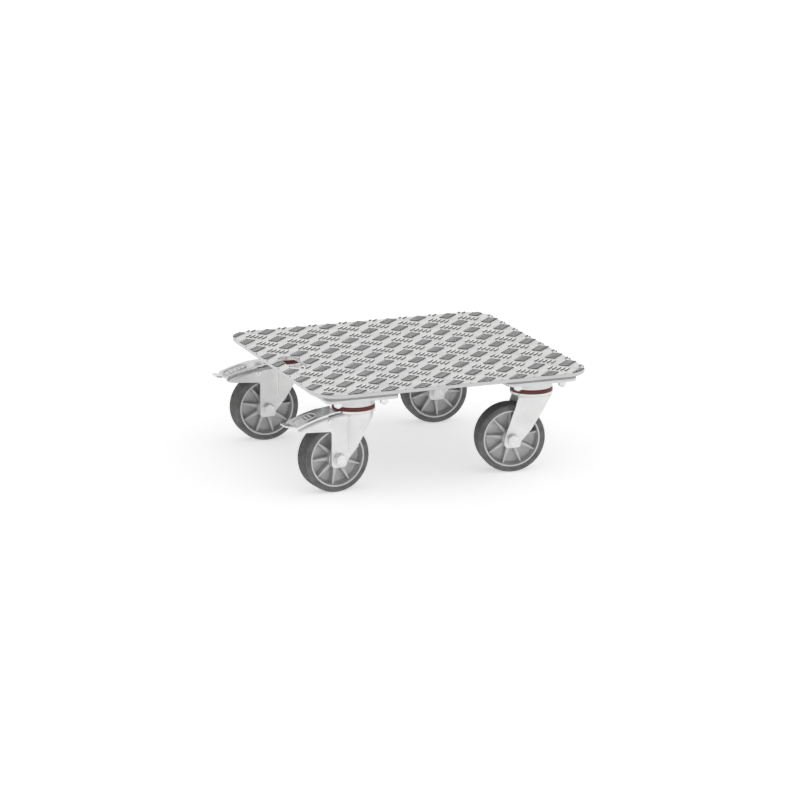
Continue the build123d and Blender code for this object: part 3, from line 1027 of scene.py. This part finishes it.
@dataclass
class Fasteners(Assembly):
    """Hexagonal and turned fasteners of one thread, modelled upright about the Z axis with their heads up."""

    across_flats: float = 13 * MM
    shank_radius: float = 4 * MM
    pitch: float = 1.25 * MM
    chamfer: float = 0.9 * MM
    rounding: float = 0.25 * MM
    bore_sides: int = 24
    face_share: float = 0.94
    chamfer_slope: float = 3
    rim_share: float = 0.35
    root_share: float = 0.87
    tip_share: float = 0.72
    edge_angle: float = 30

    def hexagon(self, name: str, low: float, high: float) -> Piece:
        """Model a hexagon with turned corners at its upper end.

        Args:
            name: The piece's name.
            low: Height of its lower end.
            high: Height of its upper end.

        Returns:
            The hexagon.
        """
        corner = self.across_flats / math.sqrt(3)
        body = Bench.prism(name, 6, corner, low, high)
        face = (self.across_flats / 2 * self.face_share, high)
        shoulder = (2 * corner, high - self.chamfer * self.chamfer_slope)
        outline = [(0, low - MM), (2 * corner, low - MM), shoulder, face, (0, high)]
        Bench.combine(body, Bench.lathe("turning", outline, steps=48), Join.KEEP)
        return body

    def nut(self, low: float, high: float) -> Piece:
        """Model a bored nut.

        Args:
            low: Height of its lower end.
            high: Height of its upper end.

        Returns:
            The nut.
        """
        nut = self.hexagon("nut", low, high)
        bore = Bench.prism("bore", self.bore_sides, self.shank_radius, low - MM, high + MM)
        Bench.combine(nut, bore, Join.CUT)
        Bench.soften(nut, self.rounding, angle=self.edge_angle)
        return nut

    def washer(self, bore: float, radius: float, low: float, high: float) -> Piece:
        """Model a pressed washer or flange with a rounded rim.

        Args:
            bore: Radius of its hole.
            radius: Its outer radius.
            low: Height of its lower face.
            high: Height of its upper face.

        Returns:
            The washer.
        """
        edge = (high - low) * self.rim_share
        outline = [(bore, low), (radius - edge, low), (radius, low + edge), (radius, high - edge)]
        outline += [(radius - edge, high), (bore, high)]
        washer = Bench.lathe("washer", outline, steps=40)
        Bench.smooth(washer)
        return washer

    def thread(self, low: float, top: float, high: float) -> Piece:
        """Model a shank with thread crests near its upper end.

        Args:
            low: Height of its lower end.
            top: Height at which the crests begin.
            high: Height of its upper end.

        Returns:
            The shank.
        """
        radius = self.shank_radius
        outline = [(0, low), (radius, low), (radius, top)]
        for crest in range(int((high - top) / self.pitch)):
            base = top + crest * self.pitch
            outline += [(radius * self.root_share, base + self.pitch / 2), (radius, base + self.pitch)]
        outline += [(radius * self.tip_share, high), (0, high)]
        shank = Bench.lathe("shank", outline, steps=32)
        Bench.smooth(shank, self.edge_angle)
        return shank


@dataclass
class PlateBolts(Fasteners):
    """Studs, washers and nuts that hold the four caster plates, sixteen of each."""

    spacing_x: float = 86 * MM
    spacing_y: float = 80 * MM
    washer_radius: float = 8 * MM

    @staticmethod
    def hanging(box: Sequence[Vector]) -> Point:
        """Heights of a box's ends when it is turned upside down."""
        return -box[1].z, -box[0].z

    def places(self) -> list[Matrix]:
        """Find the studs of all casters.

        Returns:
            Their places.
        """
        x, y = self.spacing_x / 2, self.spacing_y / 2
        studs = [Matrix.Translation((end, side, 0)) for side in (-y, y) for end in (-x, x)]
        return [caster.square @ stud for caster in self.casters for stud in studs]

    def build(self) -> None:
        """Build and dress the fasteners."""
        low, high = self.hanging(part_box("stud_nuts"))
        nut = self.nut(low, high)
        stud_low, stud_high = self.hanging(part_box("mounting_studs"))
        stud = self.thread(stud_low, high - MM, stud_high)
        washer = self.washer(self.shank_radius, self.washer_radius, *self.hanging(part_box("stud_washers")))
        for pattern, name, node in (
            (nut, "plate_nuts", "stud_nuts"),
            (stud, "plate_studs", "mounting_studs"),
            (washer, "plate_washers", "stud_washers"),
        ):
            pattern.data.transform(UPSIDE_DOWN)
            Fitter.replace(Bench.spread(pattern, name, self.places()), Finishes.fastener, node)


@dataclass
class Swivel(Assembly):
    """What joins a wheel to the deck: pad, top plate with its raceway, seal ring and pressed fork."""

    seal_radius: float = 38.5 * MM
    seal_wall: float = 7.5 * MM
    seal_groove: float = 0.45 * MM
    seal_rounding: float = 2 * MM
    sheet_rounding: float = 0.5 * MM
    bead_behind: float = 21 * MM
    bead_top: float = -50 * MM
    bead_bottom: float = -112 * MM
    bead_width: float = 5 * MM
    bead_relief: float = 2.0 * MM
    bead_taper: Triple = (0.35, 1, 0.94)
    bead_rounding: float = 0.9 * MM

    def bead(self) -> Piece:
        """Model the upright bead that is pressed in both legs of a braked fork, tapered and rounded.

        Returns:
            The beads of both legs.
        """
        low = (-self.bead_width / 2, -self.fork_half - self.bead_relief, self.bead_bottom)
        high = (self.bead_width / 2, -self.fork_half + self.sheet_rounding, self.bead_top)
        bead = Bench.block("bead", low, high)
        middle = (0, 0, (self.bead_bottom + self.bead_top) / 2)
        with Bench.picked(bead, Part.VERTICES, lambda ends: ends[0].y < -self.fork_half):
            bpy.ops.transform.resize(value=self.bead_taper, center_override=middle)
        behind = Matrix.Translation((-self.bead_behind, 0, 0))
        legs = [behind @ Matrix.Rotation(side, 4, "Z") for side in (0, math.pi)]
        beads = Bench.spread(bead, "bead_pattern", legs)
        Bench.soften(beads, self.bead_rounding, segments=3, angle=20)
        return beads

    def seal(self, low: float, high: float) -> Piece:
        """Model a seal ring with a rounded upper edge and a moulded groove.

        Args:
            low: Height of its underside.
            high: Height of its upper side.

        Returns:
            The ring.
        """
        radius = self.seal_radius
        middle = (low + high) / 2
        groove = self.seal_groove
        rounding = self.seal_rounding
        outline = [(radius - self.seal_wall, low), (radius - groove, low), (radius, low + groove)]
        outline += [(radius, middle - 2 * groove), (radius - groove, middle - groove)]
        outline += [(radius - groove, middle), (radius, middle + groove)]
        outline += Outline.quarter((radius - rounding, high - rounding), rounding, start=0, steps=4)
        outline.append((radius - self.seal_wall, high))
        ring = Bench.lathe("seal_pattern", outline, steps=96)
        Bench.smooth(ring, angle=40)
        return ring

    def build(self) -> None:
        """Build and dress the swivels of all casters."""
        lowest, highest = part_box(self.casters[0].corner.name_of("seal_ring"))
        seal = self.seal(lowest.z, highest.z)
        bead = self.bead()
        for caster in self.casters:
            corner = caster.corner
            if corner.braked:
                copy = Bench.copy(bead, corner.name_of("pressed_bead"), caster.turned)
                Fitter.add(copy, Finishes.zinc, corner.name_of("fork"))
            caster.fit(seal, "lip_seal", caster.turned, Finishes.seal, "seal_ring")
            for node, name, finish in (
                ("mounting_pad", "packing_block", Finishes.packing),
                ("top_plate", "pressed_plate", Finishes.plate),
                ("fork", "pressed_fork", Finishes.zinc),
            ):
                piece = Bench.refine(corner.name_of(node), corner.name_of(name), self.sheet_rounding)
                Fitter.replace(piece, finish, corner.name_of(node))
            Fitter.keep(Finishes.fastener, corner.name_of("king_pin"))
            Fitter.keep(Finishes.bearing, corner.name_of("swivel_balls"))
        Bench.discard(seal, bead)


@dataclass
class Wheel(Assembly):
    """A rubber tyre on a cast rim with nine tapered ribs on each side."""

    radius: float = 62.5 * MM
    tyre_half: float = 18.75 * MM
    seat_radius: float = 52.02 * MM
    seat_edge: float = 0.8 * MM
    shoulder: float = 5 * MM
    ridge: float = 0.3 * MM
    ridge_place: float = 4.4 * MM
    ridge_steps: tuple[Point, ...] = ((0, 0), (0.25, 1), (0.8, 1), (1.05, 0))
    groove_half: float = 0.5 * MM
    groove_depth: float = 0.2 * MM
    rim_radius: float = 52 * MM
    rim_half: float = 18.25 * MM
    lip_inner: float = 49 * MM
    lip_draft: float = 0.6 * MM
    lip_depth: float = 2.2 * MM
    band_inner: float = 46 * MM
    band_draft: float = 0.2 * MM
    hub_radius: float = 18.17 * MM
    hub_draft: float = 0.3 * MM
    hub_bore: float = 14.17 * MM
    hub_half: float = 21 * MM
    hub_chamfer: float = 0.8 * MM
    web_half: float = 2.5 * MM
    fillet: float = 2.2 * MM
    fillet_reach: float = 1.4
    rib_count: int = 9
    rib_root: float = 7.4 * MM
    rib_tip: float = 3.2 * MM
    rib_top: float = 14.25 * MM
    rib_draft: float = 0.7
    rib_rounding: float = 0.8 * MM

    def tyre(self) -> Piece:
        """Model the tyre, with a moulded ridge on each wall and a parting groove.

        Returns:
            The tyre.
        """
        wall = self.seat_radius + self.ridge_place
        side = [
            (self.seat_radius, -self.tyre_half + self.seat_edge),
            (self.seat_radius + self.seat_edge, -self.tyre_half),
        ]
        side += [(wall + step * MM, -self.tyre_half - rise * self.ridge) for step, rise in self.ridge_steps]
        middle = (self.radius - self.shoulder, -self.tyre_half + self.shoulder)
        side += Outline.quarter(middle, self.shoulder, start=-90, steps=6)
        side += [(self.radius, -self.groove_half), (self.radius - self.groove_depth, -self.groove_half / 2)]
        tyre = Bench.lathe("tyre_pattern", Outline.mirrored(side), steps=96)
        Bench.smooth(tyre, angle=40)
        Bench.own_coordinates(tyre)
        return tyre

    def rib(self) -> Piece:
        """Model one tapered rib along X, above the web.

        Returns:
            The rib.
        """
        low = (self.hub_radius - MM, -self.rib_root / 2, self.web_half / 2)
        high = (self.lip_inner - MM, self.rib_root / 2, self.rib_top)
        rib = Bench.block("rib", low, high)
        for test, scale, middle in (
            (lambda ends: ends[0].x > self.band_inner, self.rib_tip / self.rib_root, self.lip_inner),
            (lambda ends: ends[0].z < self.web_half, 1 + self.rib_draft / 2, 0),
        ):
            with Bench.picked(rib, Part.VERTICES, test):
                bpy.ops.transform.resize(value=(1, scale, 1), center_override=(middle, 0, 0))
        with Bench.picked(rib, Part.EDGES, lambda ends: min(end.z for end in ends) > self.web_half):
            bpy.ops.mesh.bevel(offset=self.rib_rounding, segments=3, affect="EDGES")
        return rib

    def rim(self) -> Piece:
        """Model the rim: a turned body with the ribs joined to it.

        Returns:
            The rim.
        """
        web = self.web_half
        fillet = self.fillet
        foot = fillet * self.fillet_reach
        half = [
            (self.hub_bore, -self.hub_half),
            (self.hub_radius - self.hub_chamfer, -self.hub_half),
            (self.hub_radius, -self.hub_half + self.hub_chamfer),
            (self.hub_radius + self.hub_draft, -web - fillet),
            (self.hub_radius + fillet / 2, -web - fillet / 3),
            (self.hub_radius + foot, -web),
            (self.band_inner - foot, -web),
            (self.band_inner - fillet / 2, -web - fillet / 3),
            (self.band_inner + self.band_draft, -web - fillet),
            (self.lip_inner - self.lip_draft, -self.rim_half + self.lip_depth),
            (self.lip_inner, -self.rim_half),
            (self.rim_radius, -self.rim_half),
        ]
        body = Bench.lathe("rim_pattern", Outline.mirrored(half), steps=108)
        sides = [Matrix.Rotation(side, 4, "X") for side in (0, math.pi)]
        turns = [Matrix.Rotation(FULL_TURN * turn / self.rib_count, 4, "Z") for turn in range(self.rib_count)]
        ribs = Bench.spread(self.rib(), "ribs", [turn @ side for side in sides for turn in turns])
        Bench.combine(body, ribs, Join.ADD)
        Bench.smooth(body, angle=30)
        Bench.own_coordinates(body)
        return body

    def build(self) -> None:
        """Build and dress the four wheels."""
        tyre = self.tyre()
        rim = self.rim()
        for caster in self.casters:
            caster.fit(tyre, "tread_ring", caster.rolled, Finishes.tyre, "tyre")
            caster.fit(rim, "cast_wheel", caster.rolled, Finishes.rim, "rim")
            Fitter.keep(Finishes.bearing, caster.corner.name_of("bearings"))
        Bench.discard(tyre, rim)


@dataclass
class Axle(Fasteners):
    """Flanged hexagon bolt through both legs of a fork, with its nut."""

    across_flats: float = 18 * MM
    shank_radius: float = 6 * MM
    pitch: float = 1.5 * MM
    chamfer: float = 1.1 * MM
    rounding: float = 0.3 * MM
    bore_sides: int = 32
    flange_radius: float = 11 * MM
    flange_height: float = 2.5 * MM
    head_height: float = 6.5 * MM
    nut_height: float = 8 * MM
    tail: float = 3 * MM

    @property
    def top(self) -> float:
        """Height of a flange's upper face."""
        return self.fork_half + self.flange_height

    def flange(self, bore: float) -> Piece:
        """Model the flange of a head or nut with a bore."""
        return self.washer(bore, self.flange_radius, self.fork_half, self.top)

    def flanged_bolt(self) -> Piece:
        """Model the bolt, its head up.

        Returns:
            The bolt.
        """
        head = self.hexagon("bolt", self.top - MM, self.top + self.head_height)
        Bench.soften(head, self.rounding, angle=self.edge_angle)
        flange = self.flange(self.shank_radius / 2)
        end = self.top + self.nut_height
        shank = self.thread(-self.fork_half, end - MM, end + self.tail)
        shank.data.transform(UPSIDE_DOWN)
        return Bench.gather("bolt_pattern", [head, flange, shank])

    def flanged_nut(self) -> Piece:
        """Model the nut at the far leg, facing down.

        Returns:
            The nut.
        """
        nut = self.nut(self.top - MM, self.top + self.nut_height)
        joined = Bench.gather("nut_pattern", [nut, self.flange(self.shank_radius)])
        joined.data.transform(UPSIDE_DOWN)
        return joined

    def build(self) -> None:
        """Build and dress the four axles."""
        bolt = self.flanged_bolt()
        nut = self.flanged_nut()
        for caster in self.casters:
            caster.fit(bolt, "flanged_bolt", caster.on_axle, Finishes.fastener, "axle_bolt")
            caster.fit(nut, "flanged_nut", caster.on_axle, Finishes.fastener, "axle_nut")
            Fitter.keep(Finishes.bearing, caster.corner.name_of("axle_tube"))
        Bench.discard(bolt, nut)


@dataclass
class Brake(Assembly):
    """Foot brake: a curved pedal with a raised loop and ribs, its pin and its shoe."""

    tread_radius: float = 255.1 * MM
    tread_middle: Point = (-20 * MM, -296.1 * MM)
    loop_middle: float = -97 * MM
    loop_length: float = 44 * MM
    loop_width: float = 29 * MM
    loop_corner: float = 11 * MM
    loop_band: float = 2.4 * MM
    loop_cuts: int = 7
    long_edge: float = 5 * MM
    relief: float = 1.2 * MM
    sink: float = 0.4 * MM
    rib_count: int = 4
    rib_pitch: float = 7 * MM
    rib_width: float = 2.6 * MM
    rib_span: float = 15 * MM
    rib_roundness: float = 0.45
    grip_rounding: float = 0.45 * MM
    pin_place: Point = (-57 * MM, -57 * MM)
    pin_radius: float = 4 * MM
    head_radius: float = 5.5 * MM
    head_height: float = 2 * MM
    head_dome: tuple[Point, ...] = ((0.62, 1.0), (0.9, 0.72), (1.0, 0.35), (1.0, 0.0))
    sheet_rounding: float = 0.45 * MM
    ear_bottom: float = -74.5 * MM

    def loop(self) -> Piece:
        """Model the flat oblong loop.

        Returns:
            The loop.
        """
        loop = Bench.start("loop", bpy.ops.mesh.primitive_plane_add, size=1, location=(0, 0, -self.sink))
        with Bench.editing(loop):
            bpy.ops.transform.resize(value=(self.loop_length, self.loop_width, 1))
            bpy.ops.transform.translate(value=(self.loop_middle, 0, 0))
            bpy.ops.mesh.bevel(offset=self.loop_corner, segments=8, affect="VERTICES")
            bpy.ops.mesh.select_all(action="SELECT")
            bpy.ops.mesh.inset(thickness=self.loop_band)
            bpy.ops.mesh.delete(type="FACE")
        with Bench.picked(loop, Part.EDGES, lambda ends: abs(ends[0].x - ends[1].x) > self.long_edge):
            bpy.ops.mesh.subdivide(number_cuts=self.loop_cuts)
            bpy.ops.mesh.select_all(action="SELECT")
            Bench.extrude(0, 0, self.relief + self.sink)
            Bench.face_outwards()
        return loop

    def grip(self) -> Piece:
        """Model the raised loop and the ribs inside it, laid on the pedal's curve.

        Returns:
            The loop and ribs.
        """
        low = (-self.rib_width / 2, -self.rib_span / 2, -self.sink)
        rib = Bench.block("rib", low, (self.rib_width / 2, self.rib_span / 2, self.relief))
        Bench.round_upright(rib, self.rib_width * self.rib_roundness, segments=4)
        steps = [step - (self.rib_count - 1) / 2 for step in range(self.rib_count)]
        places = [Matrix.Translation((self.loop_middle + step * self.rib_pitch, 0, 0)) for step in steps]
        grip = Bench.gather("grip_pattern", [self.loop(), Bench.spread(rib, "ribs", places)])
        Bench.soften(grip, self.grip_rounding, angle=60)
        x, z = self.tread_middle
        for vertex in grip.data.vertices:
            vertex.co.z += z + math.sqrt(self.tread_radius**2 - (vertex.co.x - x) ** 2)
        return grip

    def pin(self) -> Piece:
        """Model the pin with a domed, riveted head at each end, along the axle's direction.

        Returns:
            The pin.
        """
        half = [(0, -self.fork_half - self.head_height)]
        half += [(self.head_radius * r, -self.fork_half - self.head_height * h) for r, h in self.head_dome]
        half.append((self.pin_radius, -self.fork_half))
        pin = Bench.lathe("pin_pattern", Outline.mirrored(half), steps=32)
        Bench.smooth(pin, angle=40)
        x, z = self.pin_place
        pin.data.transform(Matrix.Translation((x, 0, z)) @ LAID_DOWN)
        return pin

    def build(self) -> None:
        """Build and dress the brakes of the braked casters."""
        grip = self.grip()
        pin = self.pin()
        for caster in self.casters:
            corner = caster.corner
            if not corner.braked:
                continue
            pedal = corner.name_of("brake_pedal")
            piece = Bench.refine(pedal, corner.name_of("foot_pedal"), self.sheet_rounding)
            Bench.trim(piece, self.ear_bottom)
            Fitter.replace(piece, Finishes.pedal, pedal)
            Fitter.add(Bench.copy(grip, corner.name_of("pedal_grip"), caster.turned), Finishes.worn, pedal)
            caster.fit(pin, "rivet_pin", caster.turned, Finishes.fastener, "pedal_pin")
            Fitter.keep(Finishes.shoe, corner.name_of("brake_shoe"))
        Bench.discard(grip, pin)


@dataclass(frozen=True)
class Studio:
    """Pale floor, soft light and the camera at the photograph's angle."""

    floor_half: float = 40.0
    floor_colour: Triple = (0.93, 0.93, 0.93)
    floor_pale: Triple = (0.95, 0.95, 0.95)
    camera_place: Triple = (-2.1574, -5.5464, 1.4521)
    camera_azimuth: float = 21.16
    camera_elevation: float = 14.54
    camera_reach: float = 200.0
    lens: float = 150.53
    glow: float = 0.49
    horizon: float = 1.02
    zenith: float = 0.36
    sky_limits: Point = (0.25, 0.70)
    left_share: float = 0.9
    left_limits: Point = (-0.9, -0.1)
    right_share: float = 0.8
    right_limits: Point = (0.1, 0.9)
    front_share: float = 0.68
    front_limits: Point = (-0.8, -0.2)
    key_strength: float = 0.6
    key_softness: float = 100.0
    key_from: Triple = (0.9, -1.1, 2.0)

    def build_camera(self) -> None:
        """Place the camera and make it the scene's own."""
        data = bpy.data.cameras.new("camera")
        data.lens = self.lens
        data.clip_end = self.camera_reach
        camera = bpy.data.objects.new("camera", data)
        bpy.context.scene.collection.objects.link(camera)
        azimuth = math.radians(self.camera_azimuth)
        elevation = math.radians(self.camera_elevation)
        level = math.cos(elevation)
        aim = Vector((math.sin(azimuth) * level, math.cos(azimuth) * level, -math.sin(elevation)))
        camera.location = self.camera_place
        camera.rotation_euler = aim.to_track_quat("-Z", "Y").to_euler()
        bpy.context.scene.camera = camera

    def build_floor(self) -> None:
        """Lay the pale floor under the tyres."""
        sizes = {"size": 2 * self.floor_half, "location": (0, 0, cad_box[0][2])}
        floor = Bench.start("floor", bpy.ops.mesh.primitive_plane_add, **sizes)
        graph = Graph(bpy.data.materials.new("floor"))
        graph.surface(
            Base_Color=graph.blend(graph.noise(graph.place(), scale=3), self.floor_colour, self.floor_pale),
            Roughness=0.9,
            Specular_IOR_Level=0.0,
            Emission_Color=(1, 1, 1),
            Emission_Strength=self.glow,
        )
        floor.data.materials.append(graph.owner)

    def build_light(self) -> None:
        """Set the pale surroundings and hang the soft key light."""
        scene = bpy.context.scene
        scene.view_settings.view_transform = "Standard"
        scene.world = bpy.data.worlds.new("studio")
        graph = Graph(scene.world, "Background")
        direction = graph.node("TexCoord", {}).outputs["Generated"]
        strength = 1.0
        for axis, limits, results in (
            ("Y", self.front_limits, (self.front_share, 1.0)),
            ("X", self.left_limits, (self.left_share, 1.0)),
            ("X", self.right_limits, (1.0, self.right_share)),
            ("Z", self.sky_limits, (self.horizon, self.zenith)),
        ):
            share = graph.span(graph.along(axis, direction), limits, results)
            strength = graph.sum("MULTIPLY", share, strength)
        graph.surface(Color=(1, 1, 1), Strength=strength)
        data = bpy.data.lights.new("key", "SUN")
        data.energy = self.key_strength
        data.angle = math.radians(self.key_softness)
        light = bpy.data.objects.new("key", data)
        light.rotation_euler = (-Vector(self.key_from)).to_track_quat("-Z", "Y").to_euler()
        scene.collection.objects.link(light)


def main() -> None:
    """Build the scene."""
    logging.basicConfig(level=logging.INFO, format="%(message)s")
    studio = Studio()
    studio.build_camera()
    studio.build_floor()
    studio.build_light()
    casters = [Caster.read(corner) for corner in Corner]
    for assembly in (Deck, PlateBolts, Swivel, Wheel, Axle, Brake):
        assembly(casters).build()


if __name__ == "__main__":
    main()
